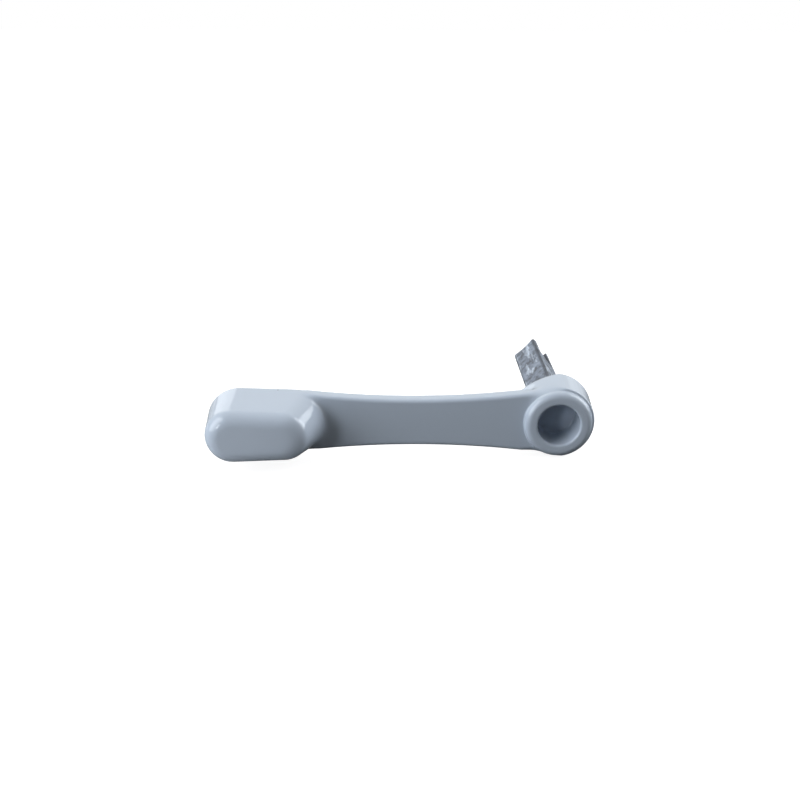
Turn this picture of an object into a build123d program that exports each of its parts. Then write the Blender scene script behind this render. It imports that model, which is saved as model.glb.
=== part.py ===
"""Latch lever of a sliding patio door: one zinc die casting, painted apart from its bare tail.

Frame: millimetres, +Z up. The origin is on the hub's axis, at the hub's flat back, which bears on the
handle plate. The thumb block and the recess face the room, along -Y. The tail runs into the door, along +Y.
The arm reaches out along -X.
"""
import os
from math import asin, cos, radians, sin, sqrt, tan

from build123d import *

# Depths along Y, from the hub's back towards the room
HUB_DEPTH = 8.65            # to the arm's front face, which the hub's shoulder shares
ARM_THICKNESS = 3.4
RING_PROUD = 1.75           # raised ring, out of the arm's front face
BLOCK_PROUD = 10.3          # thumb block, out of the arm's front face

# Draft of the hub and the arm, which lets the casting leave its mould
DRAFT_DEG = 3.9

# Hub
HUB_RADIUS = 8.8            # at its back
SHOULDER_WIDTH = 0.61       # step between the hub's body and the ring
SHOULDER_ROUND = 0.35
RING_ROUND = 1.35           # rolled outer edge of the ring
RECESS_RADIUS = 4.76        # 3/8 in blind recess
RECESS_DEPTH = 7.6          # from the ring's front
RECESS_LIP_ROUND = 0.45

# Arm: its two edges are shallow arcs that draw in to a waist
WAIST_HALF_HEIGHT = 5.6     # at the arm's back
WAIST_FROM_HUB = 32.3
EDGE_UNDER_RIM = 0.74       # the arcs, carried on to the hub's axis, pass this far inside its rim
ARM_ARC_TO_BLOCK = 2.6      # the arcs stop this far short of the middle of the block's near end
ARM_EDGE_ROUND = 0.8        # front edges
BACK_BEVEL = 0.7            # back edges of the arm and the thumb block

# Thumb block: a tapered slot outline at the arm's back and a shorter one at the block's front
ARM_REACH = 78.6            # hub axis to the block's far end
BLOCK_END_RADIUS = 7.5      # its rounded far end, at the arm's back
NEAR_FROM_END = 20.0        # far end to the middle of its rounded near end, at the arm
NEAR_RADIUS = 7.1           # at the arm's back
FRONT_FAR_FROM_END = 6.6    # far end to the middle of its rounded far end, at the block's front
FRONT_FAR_RADIUS = 5.65
FRONT_NEAR_FROM_END = 17.2  # far end to the middle of its near end, at the block's front
FRONT_NEAR_RADIUS = 5.2
BLOCK_FRONT_ROUND = 3.2

# Tail: a cored bar on the hub's axis
TAIL_LENGTH = 42.7          # hub back to the two corners of its tip, before they are rounded
TAIL_WIDTH = 7.0            # across its flat
TAIL_HEIGHT = 5.2           # square to its flat
TAIL_TURN_DEG = 45.0        # its flat faces up and away from the hub's free side
TAIL_EDGE_ROUND = 0.4
TIP_HOLLOW = 1.2            # the tip is dished between its corners
TIP_CORNER_ROUND = 0.6
TAIL_FLAT_WALL = 1.3        # wall behind the flat
TAIL_WEB_WALL = 1.6         # closed side of the channel
TAIL_FAR_WALL = 0.9         # wall opposite the flat
FAR_WALL_SHORT = 3.9        # it stops this far short of the tip
CHANNEL_LENGTH = 16.3       # tip to the channel's closed end
CHANNEL_RAMP = 6.6          # length of the slope at its closed end
TAIL_ROOT_OVERLAP = 1.0     # the bar starts this far inside the hub


# Derived places
ARM_FRONT_Y = -HUB_DEPTH
ARM_BACK_Y = ARM_FRONT_Y + ARM_THICKNESS
RING_FRONT_Y = ARM_FRONT_Y - RING_PROUD
BLOCK_FRONT_Y = ARM_FRONT_Y - BLOCK_PROUD
DRAFT = tan(radians(DRAFT_DEG))
HUB_FRONT_RADIUS = HUB_RADIUS - HUB_DEPTH * DRAFT
RING_RADIUS = HUB_FRONT_RADIUS - SHOULDER_WIDTH
EDGE_ARC_RISE = HUB_RADIUS - EDGE_UNDER_RIM - WAIST_HALF_HEIGHT
EDGE_ARC_RADIUS = (WAIST_FROM_HUB**2 + EDGE_ARC_RISE**2) / (2 * EDGE_ARC_RISE)
ARM_ROOT_RADIUS = (RECESS_RADIUS + RING_RADIUS) / 2     # the arm starts here, in the hub's wall
BLOCK_FAR_X = BLOCK_END_RADIUS - ARM_REACH              # middle of the block's rounded far end
BLOCK_NEAR_X = NEAR_FROM_END - ARM_REACH
ARM_ARC_END_X = BLOCK_NEAR_X + ARM_ARC_TO_BLOCK
ARM_END_X = (BLOCK_FAR_X + BLOCK_NEAR_X) / 2            # the arm ends here, inside the block
FRONT_FAR_X = FRONT_FAR_FROM_END - ARM_REACH
FRONT_NEAR_X = FRONT_NEAR_FROM_END - ARM_REACH
FOOT_SHARE = ARM_THICKNESS / (ARM_THICKNESS + BLOCK_PROUD)  # where the arm's front face cuts the block's draft


def facing_room(y):
    """Sketch plane at depth y: sketch x is X, sketch y is Z, and it looks towards the room."""
    return Plane.XZ.offset(-y)


def arm_half_height(x):
    """Half the arm's height at x, at the arm's back."""
    sag = EDGE_ARC_RADIUS - sqrt(EDGE_ARC_RADIUS**2 - (x + WAIST_FROM_HUB) ** 2)
    return WAIST_HALF_HEIGHT + sag


def slot_outline(far_x, far_radius, near_x, near_radius):
    """Two round ends of different radius joined by straight lines that touch both."""
    tilt = asin((far_radius - near_radius) / (near_x - far_x))
    far_top = (far_x + far_radius * sin(tilt), far_radius * cos(tilt))
    near_top = (near_x + near_radius * sin(tilt), near_radius * cos(tilt))
    far_foot = (far_top[0], -far_top[1])
    near_foot = (near_top[0], -near_top[1])
    outline = [
        ThreePointArc(far_foot, (far_x - far_radius, 0), far_top),
        Line(far_top, near_top),
        ThreePointArc(near_top, (near_x + near_radius, 0), near_foot),
        Line(near_foot, far_foot),
    ]
    return make_face(outline)


def make_hub():
    """Turned form about the hub's axis: drafted body, raised ring and blind recess."""
    floor_y = RING_FRONT_Y + RECESS_DEPTH
    floor_rim, ring_foot, back_rim = (RECESS_RADIUS, floor_y), (RING_RADIUS, ARM_FRONT_Y), (HUB_RADIUS, 0)
    lip, ring_edge = (RECESS_RADIUS, RING_FRONT_Y), (RING_RADIUS, RING_FRONT_Y)
    ring = FilletPolyline(floor_rim, lip, ring_edge, ring_foot, radius=[RECESS_LIP_ROUND, RING_ROUND])
    body = FilletPolyline(ring_foot, (HUB_FRONT_RADIUS, ARM_FRONT_Y), back_rim, radius=SHOULDER_ROUND)
    inside = Polyline(back_rim, (0, 0), (0, floor_y), floor_rim)
    profile = make_face([*ring.edges(), *body.edges(), *inside.edges()])
    return revolve(profile, Axis.Y)


def arm_outline():
    """Arm at its back: arc edges that start inside the hub's wall and run straight into the block."""
    root, waist, far = HUB_RADIUS - EDGE_UNDER_RIM, WAIST_HALF_HEIGHT, arm_half_height(ARM_ARC_END_X)
    arm = make_face([
        ThreePointArc((ARM_ARC_END_X, far), (-WAIST_FROM_HUB, waist), (0, root)),
        Line((0, root), (0, -root)),
        ThreePointArc((0, -root), (-WAIST_FROM_HUB, -waist), (ARM_ARC_END_X, -far)),
        Polyline((ARM_ARC_END_X, -far), (ARM_END_X, -far), (ARM_END_X, far), (ARM_ARC_END_X, far)),
    ])
    return arm - Circle(ARM_ROOT_RADIUS)


def long_edges(arm):
    """The arm's long edges, each an arc and a straight part in the block, in groups from front to back."""
    arcs = arm.edges().filter_by(lambda edge: edge.length > WAIST_FROM_HUB)
    straight_parts = arm.edges().filter_by(Axis.X)
    return (arcs + straight_parts).group_by(Axis.Y)


def make_arm():
    """Flat drafted arm that starts inside the hub's wall and ends in the block."""
    arm = extrude(facing_room(ARM_BACK_Y) * arm_outline(), ARM_THICKNESS, taper=DRAFT_DEG)
    arm = fillet(long_edges(arm)[0], ARM_EDGE_ROUND)
    return chamfer(long_edges(arm)[-1], BACK_BEVEL)


def make_block():
    """Thumb block: drafted all round, with a sloping flank towards the hub and a soft front edge."""
    back = slot_outline(BLOCK_FAR_X, BLOCK_END_RADIUS, BLOCK_NEAR_X, NEAR_RADIUS)
    foot_far_x = BLOCK_FAR_X + FOOT_SHARE * (FRONT_FAR_X - BLOCK_FAR_X)
    foot_inset = FOOT_SHARE * (BLOCK_END_RADIUS - FRONT_FAR_RADIUS)
    foot = slot_outline(foot_far_x, BLOCK_END_RADIUS - foot_inset, BLOCK_NEAR_X, NEAR_RADIUS - foot_inset)
    front = slot_outline(FRONT_FAR_X, FRONT_FAR_RADIUS, FRONT_NEAR_X, FRONT_NEAR_RADIUS)
    block = loft([
        facing_room(ARM_BACK_Y) * back,
        facing_room(ARM_FRONT_Y) * foot,
        facing_room(BLOCK_FRONT_Y) * front,
    ], ruled=True)
    front_edges = block.faces().sort_by(Axis.Y)[0].edges()
    block = fillet(front_edges, BLOCK_FRONT_ROUND)
    back_edges = block.faces().sort_by(Axis.Y)[-1].edges()
    return chamfer(back_edges, BACK_BEVEL)


def make_bar():
    """Plain bar of the tail, flat side up: dished at its tip, with softened edges."""
    side, dish, root = TAIL_WIDTH / 2, TAIL_LENGTH - TIP_HOLLOW, -TAIL_ROOT_OVERLAP
    plan = make_face([
        ThreePointArc((-side, TAIL_LENGTH), (0, dish), (side, TAIL_LENGTH)),
        Polyline((side, TAIL_LENGTH), (side, root), (-side, root), (-side, TAIL_LENGTH)),
    ])
    tip_corners = plan.vertices().group_by(Axis.Y)[-1]
    plan = fillet(tip_corners, TIP_CORNER_ROUND)
    bar = extrude(plan, TAIL_HEIGHT / 2, both=True)
    return fillet(bar.edges().filter_by(Axis.Z, reverse=True), TAIL_EDGE_ROUND)


def make_channel():
    """Space cored out of the tail: it opens at the tip and at one side, and slopes shut towards the hub."""
    floor_z = -TAIL_HEIGHT / 2 + TAIL_FAR_WALL
    roof_z = TAIL_HEIGHT / 2 - TAIL_FLAT_WALL
    closed_y = TAIL_LENGTH - CHANNEL_LENGTH
    outline = make_face(Polyline(
        (closed_y, floor_z),
        (TAIL_LENGTH - FAR_WALL_SHORT, floor_z),
        (TAIL_LENGTH - FAR_WALL_SHORT, -TAIL_HEIGHT),
        (TAIL_LENGTH, -TAIL_HEIGHT),
        (TAIL_LENGTH, roof_z),
        (closed_y + CHANNEL_RAMP, roof_z),
        close=True,
    ))
    closed_side = Plane.YZ.offset(TAIL_WEB_WALL - TAIL_WIDTH / 2)
    return extrude(closed_side * outline, TAIL_WIDTH)


def make_tail():
    """Cored bar on the hub's axis, turned about it."""
    return Rot(0, -TAIL_TURN_DEG, 0) * (make_bar() - make_channel())


def make_lever():
    return make_hub() + (make_arm() + make_block()) + make_tail()


os.makedirs("parts", exist_ok=True)
lever = make_lever()
export_step(lever, "parts/latch_lever.step")
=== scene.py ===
"""Looks of the latch lever: gloss enamel on the casting, bare zinc on its tail, pale floor, soft light."""

from math import cos, radians, sin

import bmesh
import bpy
import numpy as np
from mathutils import Matrix, Vector, noise


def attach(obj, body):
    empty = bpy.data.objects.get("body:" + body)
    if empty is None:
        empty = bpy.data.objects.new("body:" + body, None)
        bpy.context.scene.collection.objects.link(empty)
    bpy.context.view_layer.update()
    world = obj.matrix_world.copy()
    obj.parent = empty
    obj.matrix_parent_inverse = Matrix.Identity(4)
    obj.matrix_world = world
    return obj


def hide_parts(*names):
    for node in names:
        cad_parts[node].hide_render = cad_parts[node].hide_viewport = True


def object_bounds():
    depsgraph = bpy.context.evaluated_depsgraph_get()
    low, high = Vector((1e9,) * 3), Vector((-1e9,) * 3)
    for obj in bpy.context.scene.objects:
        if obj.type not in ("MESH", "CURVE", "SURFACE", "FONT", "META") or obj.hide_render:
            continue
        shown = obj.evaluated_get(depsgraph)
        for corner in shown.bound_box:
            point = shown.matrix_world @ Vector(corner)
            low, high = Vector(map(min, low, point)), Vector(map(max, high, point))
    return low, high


MM = 0.001

# Cut between the painted casting and its tail, just behind the hub's flat back
CUT_Y = 0.02 * MM
MERGE_DISTANCE = 0.001 * MM

# Skin of the painted casting
SKIN_VOXEL = 0.15 * MM
SKIN_ROUNDS = 2             # rounds of softening all over
SKIN_TRIANGLES = 190000     # kept at the end, most of them where the form is curved
SOFTENING = 0.5             # share of the way that a point moves to the middle of its neighbours in a round

# Foot of the thumb block's flank, a half circle on the arm's front
ARM_FRONT_Y = -8.65 * MM
FLANK_MIDDLE_X = -58.6 * MM
FLANK_RADIUS = 6.64 * MM
FLANK_SOFT_REACH = 1.8 * MM
FLANK_ROUNDS = 160

# Rounder end of the block's front edge, above the flank
SHOULDER_Y = -18.9 * MM
SHOULDER_MIDDLE_X = -61.4 * MM
SHOULDER_RADIUS = 3.4 * MM
SHOULDER_SOFT_REACH = 2.6 * MM
SHOULDER_ROUNDS = 300

# Corners where the arm's edges run into the hub, above and below
CORNER_X = -3.4 * MM
CORNER_Z = 7.56 * MM
CORNER_FRONT_Y = ARM_FRONT_Y - 0.1 * MM     # the ring, further forward, keeps its form
CORNER_SOFT_REACH = 5.0 * MM
CORNER_ROUNDS = 400

# Tail
TAIL_ROOT_Y = -0.5 * MM     # it starts this deep in the hub
TAIL_VOXEL = 0.18 * MM
TAIL_ROUNDS = 5
TAIL_WAVES = ((2.6 * MM, 0.03 * MM), (0.9 * MM, 0.008 * MM))    # length and height of its uneven surface

# Enamel
ENAMEL_COLOR = (0.515, 0.58, 0.675, 1)
ENAMEL_ROUGHNESS = 0.05
FILM_SCALE = 220            # waves in a metre of the unevenness in its film
FILM_DETAIL = 2
FILM_BUMP = 0.05
SPECKS = (Vector((-62.6, -6.5, 7.1)) * MM, Vector((-76.9, -11.3, 3.9)) * MM)
SPECK_EDGE = (0.08 * MM, 0.22 * MM)         # distances from its middle, from dark to clear
SPECK_COLOR = (0.09, 0.09, 0.10, 1)
BUMP_HEIGHT = 0.05 * MM

# Bare zinc: each noise has its waves in a metre, turn, stretch, and the values that it is drawn out between
ZINC_METALLIC = 0.7
ZINC_ROUGHNESS = 0.42
ZINC_BUMP = 0.2
ZINC_DARK = (0.085, 0.10, 0.13, 1)
ZINC_MIDDLE = (0.27, 0.32, 0.41, 1)
ZINC_LIGHT = (0.62, 0.70, 0.82, 1)
# Colour of the painted shade along the tail's rounded edges
ZINC_EDGE_SHADE = (0.05, 0.062, 0.09, 1)
TAIL_TURN = (0, radians(45), 0)
BLOTCHES = (520, TAIL_TURN, (1, 0.7, 1), (0.38, 0.62))
FLOW_MARKS = (700, (0, radians(45), radians(-40)), (1, 0.2, 1), (0.52, 0.68))
NOISE_DETAIL = 5
NOISE_ROUGHNESS = 0.6
EDGE_SHADE_SPAN = (-3.6 * MM, 3.6 * MM)      # across the tail
# Strength of the painted shade along the tail's rounded edges, at shares of that span
EDGE_SHADE = ((0.02, 0.45), (0.16, 0), (0.84, 0), (0.9, 0.8), (0.965, 0.8), (0.985, 0))

# Camera, at the photograph's viewing angle
CAMERA_PLACE = Vector((-39.06, -237.43, 90.06)) * MM
CAMERA_AZIMUTH = radians(-0.91)
CAMERA_ELEVATION = radians(20.29)
CAMERA_ROLL = radians(-0.295)
CAMERA_LENS = 49.5
CAMERA_SENSOR = 36.0
CAMERA_CLIP = (0.01, 100)

# Floor: what it shows the camera, and the light that it throws back at the lever
FLOOR_SIZE = 6.0
FLOOR_COLOR = (0.35, 0.35, 0.35, 1)
FLOOR_GLOW = 0.9
FLOOR_ROUGHNESS = 0.9
BOUNCE_FRONT = (0.06, 0.06, 0.06, 1)
BOUNCE_BLOCK = (0.3, 0.3, 0.3, 1)           # in front of the thumb block
BOUNCE_BACK = (0.8, 0.8, 0.8, 1)
BOUNCE_BLOCK_X = (-50 * MM, -70 * MM)       # where the front's shade turns into the block's
BOUNCE_BACK_Y = (0, 250 * MM)               # where they turn into the back's
WHITE = (1, 1, 1, 1)

# Light
ROOM_COLOR = (1.0, 0.97, 0.9, 1)
ROOM_DARK_TO_LIGHT = (-0.15, 0.35)          # heights of direction, from dark below to lit above
ROOM_FRONT_TO_BACK = (0.0, 0.87)            # strengths
LIGHT_AIM = Vector((-35, 0, 0)) * MM
PANEL_COLOR = (0.95, 1.0, 1.05)
PANELS = (      # name, direction from the lever, distance, width and height in metres, and power
    ("left", (-0.871, -0.317, 0.4), 0.9, (0.65, 0.85), 7.3),
    ("front_left", (-0.63, -0.75, 0.17), 0.9, (0.13, 0.2), 0.95),
    ("back_left", (-0.386, 0.828, 0.407), 1.2, (0.34, 0.9), 1.1),
    ("right", (0.85, 0.165, 0.5), 0.9, (0.52, 0.85), 5.4),
    ("right_bright", (0.78, 0.47, 0.36), 0.9, (0.3, 0.42), 1.24),
    ("right_front", (0.93, -0.3, 0.3), 0.9, (0.3, 0.5), 0.35),
    ("back_right", (0.5, 0.86, 0.1), 1.2, (0.4, 0.5), 0.3),
)


def link_to_scene(item):
    """Puts the object into the scene."""
    bpy.context.scene.collection.objects.link(item)


def new_material(name):
    """New material, its nodes and links, and the surface shader that it starts with."""
    material = bpy.data.materials.new(name)
    material.use_nodes = True
    tree = material.node_tree
    return material, tree.nodes, tree.links, tree.nodes["Principled BSDF"]


def blend(nodes, links, factor, one, other):
    """Colour between one and the other, each a colour or a socket."""
    mix = nodes.new("ShaderNodeMix")
    mix.data_type = "RGBA"
    links.new(factor, mix.inputs["Factor"])
    for socket, color in (("A", one), ("B", other)):
        if isinstance(color, tuple):
            mix.inputs[socket].default_value = color
        else:
            links.new(color, mix.inputs[socket])
    return mix.outputs["Result"]


def ranged(nodes, links, value, span, low=0, high=1):
    """Value drawn out from low at the span's start to high at its end, and held beyond them."""
    node = nodes.new("ShaderNodeMapRange")
    node.inputs["From Min"].default_value, node.inputs["From Max"].default_value = span
    node.inputs["To Min"].default_value, node.inputs["To Max"].default_value = low, high
    links.new(value, node.inputs["Value"])
    return node.outputs["Result"]


def split(nodes, links, vector):
    """The vector's X, Y and Z, by name."""
    parts = nodes.new("ShaderNodeSeparateXYZ")
    links.new(vector, parts.inputs["Vector"])
    return parts.outputs


def turn(nodes, links, place, rotation, stretch=(1, 1, 1)):
    """The place, stretched and turned."""
    turned = nodes.new("ShaderNodeMapping")
    turned.inputs["Rotation"].default_value = rotation
    turned.inputs["Scale"].default_value = stretch
    links.new(place, turned.inputs["Vector"])
    return turned.outputs["Vector"]


def add_bump(nodes, links, shader, height, strength):
    """Gives the surface small bumps from this height."""
    bump = nodes.new("ShaderNodeBump")
    bump.inputs["Strength"].default_value = strength
    bump.inputs["Distance"].default_value = BUMP_HEIGHT
    links.new(height, bump.inputs["Height"])
    links.new(bump.outputs["Normal"], shader.inputs["Normal"])


def show_camera(nodes, links, shown, lighting, target):
    """Shows one shader to the camera, and lights the lever with another."""
    path = nodes.new("ShaderNodeLightPath")
    mix = nodes.new("ShaderNodeMixShader")
    links.new(path.outputs["Is Camera Ray"], mix.inputs["Fac"])
    links.new(lighting, mix.inputs[1])
    links.new(shown, mix.inputs[2])
    links.new(mix.outputs["Shader"], target)


def enamel():
    """Gloss enamel over a casting: a cool white, faintly uneven in its film, with two tiny dark specks."""
    material, nodes, links, shader = new_material("gloss_enamel")
    shader.inputs["Roughness"].default_value = ENAMEL_ROUGHNESS
    place = nodes.new("ShaderNodeTexCoord").outputs["Object"]
    color = ENAMEL_COLOR
    for speck in SPECKS:
        apart = nodes.new("ShaderNodeVectorMath")
        apart.operation = "DISTANCE"
        apart.inputs[1].default_value = speck
        links.new(place, apart.inputs[0])
        dark = ranged(nodes, links, apart.outputs["Value"], SPECK_EDGE, 1, 0)
        color = blend(nodes, links, dark, color, SPECK_COLOR)
    links.new(color, shader.inputs["Base Color"])
    film = nodes.new("ShaderNodeTexNoise")
    film.inputs["Scale"].default_value = FILM_SCALE
    film.inputs["Detail"].default_value = FILM_DETAIL
    links.new(place, film.inputs["Vector"])
    add_bump(nodes, links, shader, film.outputs["Fac"], FILM_BUMP)
    return material


def zinc_noise(nodes, links, place, scale, rotation, stretch, span):
    """Noise of the bare zinc, nothing below the span and one above it."""
    texture = nodes.new("ShaderNodeTexNoise")
    texture.inputs["Scale"].default_value = scale
    texture.inputs["Detail"].default_value = NOISE_DETAIL
    texture.inputs["Roughness"].default_value = NOISE_ROUGHNESS
    links.new(turn(nodes, links, place, rotation, stretch), texture.inputs["Vector"])
    return ranged(nodes, links, texture.outputs["Fac"], span)


def bare_zinc():
    """Bare die-cast zinc: blue grey with blotches and light flow marks, and painted shade as a dark line
    along its rounded edges, strongest along one.
    """
    material, nodes, links, shader = new_material("bare_zinc")
    shader.inputs["Metallic"].default_value = ZINC_METALLIC
    shader.inputs["Roughness"].default_value = ZINC_ROUGHNESS
    place = nodes.new("ShaderNodeTexCoord").outputs["Object"]
    blotches = zinc_noise(nodes, links, place, *BLOTCHES)
    marks = zinc_noise(nodes, links, place, *FLOW_MARKS)
    across = split(nodes, links, turn(nodes, links, place, TAIL_TURN))["X"]
    # Painted shade: a dark line along the tail's rounded edges, across its flat
    edge_shade = nodes.new("ShaderNodeValToRGB")
    for position, strength in EDGE_SHADE:
        edge_shade.color_ramp.elements.new(position).color = (strength, strength, strength, 1)
    links.new(ranged(nodes, links, across, EDGE_SHADE_SPAN), edge_shade.inputs["Fac"])
    cast = blend(nodes, links, blotches, ZINC_DARK, ZINC_MIDDLE)
    marked = blend(nodes, links, marks, cast, ZINC_LIGHT)
    links.new(blend(nodes, links, edge_shade.outputs["Color"], marked, ZINC_EDGE_SHADE), shader.inputs["Base Color"])
    add_bump(nodes, links, shader, blotches, ZINC_BUMP)
    return material


def cut_from_solid(name, is_tail):
    """Closed piece made of the solid's faces behind the cut, for the tail, or before it."""
    form = bmesh.new()
    form.from_mesh(lever.data)
    bmesh.ops.remove_doubles(form, verts=form.verts, dist=MERGE_DISTANCE)
    others = [face for face in form.faces if (face.calc_center_median().y > CUT_Y) != is_tail]
    bmesh.ops.delete(form, geom=others, context="FACES")
    rim = [edge for edge in form.edges if edge.is_boundary]
    if is_tail:
        for vert in {vert for edge in rim for vert in edge.verts}:
            vert.co.y = TAIL_ROOT_Y
    bmesh.ops.holes_fill(form, edges=rim)
    bmesh.ops.recalc_face_normals(form, faces=form.faces)
    mesh = bpy.data.meshes.new(name)
    form.to_mesh(mesh)
    form.free()
    piece = bpy.data.objects.new(name, mesh)
    link_to_scene(piece)
    return piece


def apply_modifiers(piece):
    """Gives the piece the mesh that its modifiers make."""
    mesh = bpy.data.meshes.new_from_object(piece.evaluated_get(bpy.context.evaluated_depsgraph_get()))
    piece.modifiers.clear()
    piece.data = mesh


def remesh(piece, voxel):
    """Gives the piece an even mesh of small quads, smooth shaded."""
    grid = piece.modifiers.new("grid", "REMESH")
    grid.mode = "VOXEL"
    grid.voxel_size = voxel
    apply_modifiers(piece)
    piece.data.shade_smooth()


def thin_out(piece, triangles):
    """Joins small faces where the form is flat, until this number of triangles is left."""
    thin = piece.modifiers.new("thin", "DECIMATE")
    thin.ratio = triangles / (2 * len(piece.data.polygons))
    apply_modifiers(piece)


def read_mesh(mesh):
    """Places of the mesh's points, and the two points of each edge."""
    points = np.empty(len(mesh.vertices) * 3)
    mesh.vertices.foreach_get("co", points)
    ends = np.empty(len(mesh.edges) * 2, dtype=int)
    mesh.edges.foreach_get("vertices", ends)
    return points.reshape(-1, 3), ends.reshape(-1, 2)


def move_points(mesh, points):
    """Moves the mesh's points to these places, kept inside the solid's box."""
    mesh.vertices.foreach_set("co", np.clip(points, cad_low, cad_high).ravel())


def soften(points, edges, share, rounds):
    """Draws each point towards the middle of its neighbours, by its own share, in rounds."""
    count = len(points)
    near = edges[(share[edges] > 0).any(axis=1)]
    one, other = near[:, 0], near[:, 1]
    neighbours = np.bincount(one, minlength=count) + np.bincount(other, minlength=count)
    rate = (share * SOFTENING)[:, None]
    for _ in range(rounds):
        total = np.stack([
            np.bincount(one, points[other, axis], count) + np.bincount(other, points[one, axis], count)
            for axis in range(3)
        ], axis=1)
        points += rate * (total / np.maximum(neighbours, 1)[:, None] - points)


def fade(distance, reach):
    """One at no distance, nothing from reach on, and smooth between."""
    part = np.clip(1 - distance / reach, 0, 1)
    return part * part * (3 - 2 * part)


def from_circle(points, middle_x, radius, circle_y):
    """Distance of each point from a circle that faces along Y, with its middle at this X and no height."""
    x, y, z = points.T
    return np.hypot(np.hypot(x - middle_x, z) - radius, y - circle_y)


def painted_casting():
    """The casting without its tail, with the soft hollows that the mould and the enamel give it."""
    casting = cut_from_solid("painted_casting", False)
    remesh(casting, SKIN_VOXEL)
    points, edges = read_mesh(casting.data)
    x, y, z = points.T
    shoulder = fade(from_circle(points, SHOULDER_MIDDLE_X, SHOULDER_RADIUS, SHOULDER_Y), SHOULDER_SOFT_REACH)
    shoulder *= np.clip((x - SHOULDER_MIDDLE_X) / SHOULDER_RADIUS, 0, 1)
    foot = fade(from_circle(points, FLANK_MIDDLE_X, FLANK_RADIUS, ARM_FRONT_Y), FLANK_SOFT_REACH)
    foot[x <= FLANK_MIDDLE_X - FLANK_SOFT_REACH] = 0
    corner = fade(np.hypot(x - CORNER_X, np.abs(z) - CORNER_Z), CORNER_SOFT_REACH)
    corner[y <= CORNER_FRONT_Y] = 0
    soften(points, edges, shoulder, SHOULDER_ROUNDS)
    soften(points, edges, foot, FLANK_ROUNDS)
    soften(points, edges, corner, CORNER_ROUNDS)
    soften(points, edges, np.ones(len(points)), SKIN_ROUNDS)
    move_points(casting.data, points)
    thin_out(casting, SKIN_TRIANGLES)
    casting.data.materials.append(enamel())
    return casting


def bare_tail():
    """The cored tail, left as cast: its surface is a little uneven."""
    tail = cut_from_solid("bare_tail", True)
    remesh(tail, TAIL_VOXEL)
    points, edges = read_mesh(tail.data)
    soften(points, edges, np.ones(len(points)), TAIL_ROUNDS)
    outward = np.array([vert.normal for vert in tail.data.vertices])
    for length, height in TAIL_WAVES:
        waves = np.array([noise.noise(Vector(point) / length) for point in points])
        points += outward * (waves * height)[:, None]
    move_points(tail.data, points)
    tail.data.materials.append(bare_zinc())
    return tail


def floor(lowest_z):
    """Pale floor that shows near white, and throws little light up at the lever's front."""
    bpy.ops.mesh.primitive_plane_add(size=FLOOR_SIZE, location=(0, 0, lowest_z))
    plane = bpy.context.object
    plane.name = "floor"
    material, nodes, links, shader = new_material("floor")
    shader.inputs["Base Color"].default_value = FLOOR_COLOR
    shader.inputs["Roughness"].default_value = FLOOR_ROUGHNESS
    shader.inputs["Specular IOR Level"].default_value = 0
    shader.inputs["Emission Color"].default_value = WHITE
    shader.inputs["Emission Strength"].default_value = FLOOR_GLOW
    place = split(nodes, links, nodes.new("ShaderNodeTexCoord").outputs["Object"])
    by_block = ranged(nodes, links, place["X"], BOUNCE_BLOCK_X)
    behind = ranged(nodes, links, place["Y"], BOUNCE_BACK_Y)
    front = blend(nodes, links, by_block, BOUNCE_FRONT, BOUNCE_BLOCK)
    bounce = nodes.new("ShaderNodeBsdfDiffuse")
    links.new(blend(nodes, links, behind, front, BOUNCE_BACK), bounce.inputs["Color"])
    target = nodes["Material Output"].inputs["Surface"]
    show_camera(nodes, links, shader.outputs["BSDF"], bounce.outputs["BSDF"], target)
    plane.data.materials.append(material)


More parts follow.
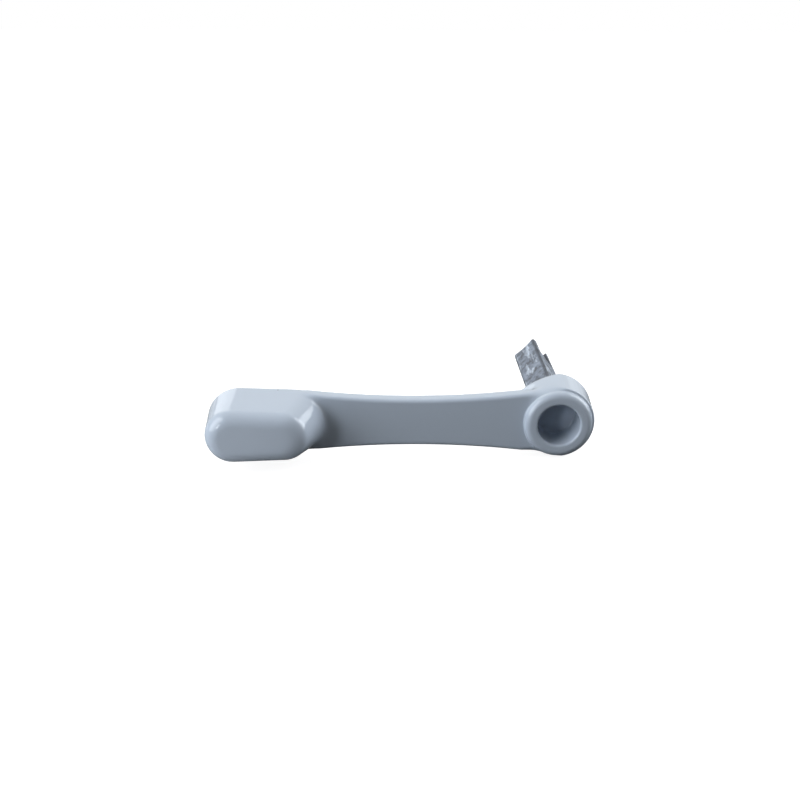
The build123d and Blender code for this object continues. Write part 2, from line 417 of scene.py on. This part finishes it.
def room_light():
    """Even light from above, less from the front and none from below, in surroundings that show white."""
    world = bpy.data.worlds.new("room")
    world.use_nodes = True
    nodes, links = world.node_tree.nodes, world.node_tree.links
    lit = nodes["Background"]
    lit.inputs["Color"].default_value = ROOM_COLOR
    toward = split(nodes, links, nodes.new("ShaderNodeTexCoord").outputs["Generated"])
    product = nodes.new("ShaderNodeMath")
    product.operation = "MULTIPLY"
    links.new(ranged(nodes, links, toward["Z"], ROOM_DARK_TO_LIGHT), product.inputs[0])
    links.new(ranged(nodes, links, toward["Y"], (-1, 1), *ROOM_FRONT_TO_BACK), product.inputs[1])
    links.new(product.outputs["Value"], lit.inputs["Strength"])
    white = nodes.new("ShaderNodeBackground")
    white.inputs["Color"].default_value = WHITE
    target = nodes["World Output"].inputs["Surface"]
    show_camera(nodes, links, white.outputs["Background"], lit.outputs["Background"], target)
    bpy.context.scene.world = world


def panel(name, toward, distance, size, power):
    """Soft rectangular light in a direction from the lever, turned to it."""
    data = bpy.data.lights.new(name, "AREA")
    data.shape = "RECTANGLE"
    data.size, data.size_y = size
    data.energy = power
    data.color = PANEL_COLOR
    light = bpy.data.objects.new(name, data)
    light.location = LIGHT_AIM + Vector(toward).normalized() * distance
    light.rotation_mode = "QUATERNION"
    light.rotation_quaternion = (LIGHT_AIM - light.location).to_track_quat("-Z", "Y")
    light.visible_camera = False
    link_to_scene(light)


def camera():
    """Camera that looks along +Y and down, with a small roll."""
    azimuth, elevation, roll = CAMERA_AZIMUTH, CAMERA_ELEVATION, CAMERA_ROLL
    ahead = Vector((-sin(azimuth) * cos(elevation), cos(azimuth) * cos(elevation), -sin(elevation)))
    level = ahead.cross(Vector((0, 0, 1))).normalized()
    down = ahead.cross(level)
    right = level * cos(roll) + down * sin(roll)
    up = level * sin(roll) - down * cos(roll)
    data = bpy.data.cameras.new("camera")
    data.sensor_width = CAMERA_SENSOR
    data.lens = CAMERA_LENS
    data.clip_start, data.clip_end = CAMERA_CLIP
    view = bpy.data.objects.new("camera", data)
    view.matrix_world = Matrix.Translation(CAMERA_PLACE) @ Matrix((right, up, -ahead)).transposed().to_4x4()
    link_to_scene(view)
    bpy.context.scene.camera = view


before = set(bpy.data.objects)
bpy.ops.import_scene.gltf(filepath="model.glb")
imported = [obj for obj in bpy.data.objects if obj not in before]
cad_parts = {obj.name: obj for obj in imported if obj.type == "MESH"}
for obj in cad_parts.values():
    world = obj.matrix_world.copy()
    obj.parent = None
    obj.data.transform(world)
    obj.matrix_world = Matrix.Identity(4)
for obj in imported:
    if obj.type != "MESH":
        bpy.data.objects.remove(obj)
cad_low, cad_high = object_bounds()
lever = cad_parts["latch_lever"]
for piece in (painted_casting(), bare_tail()):
    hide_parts("latch_lever")
    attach(piece, "root")

floor(cad_low.z)
room_light()
for row in PANELS:
    panel(*row)
bpy.context.scene.view_settings.view_transform = "Standard"
camera()
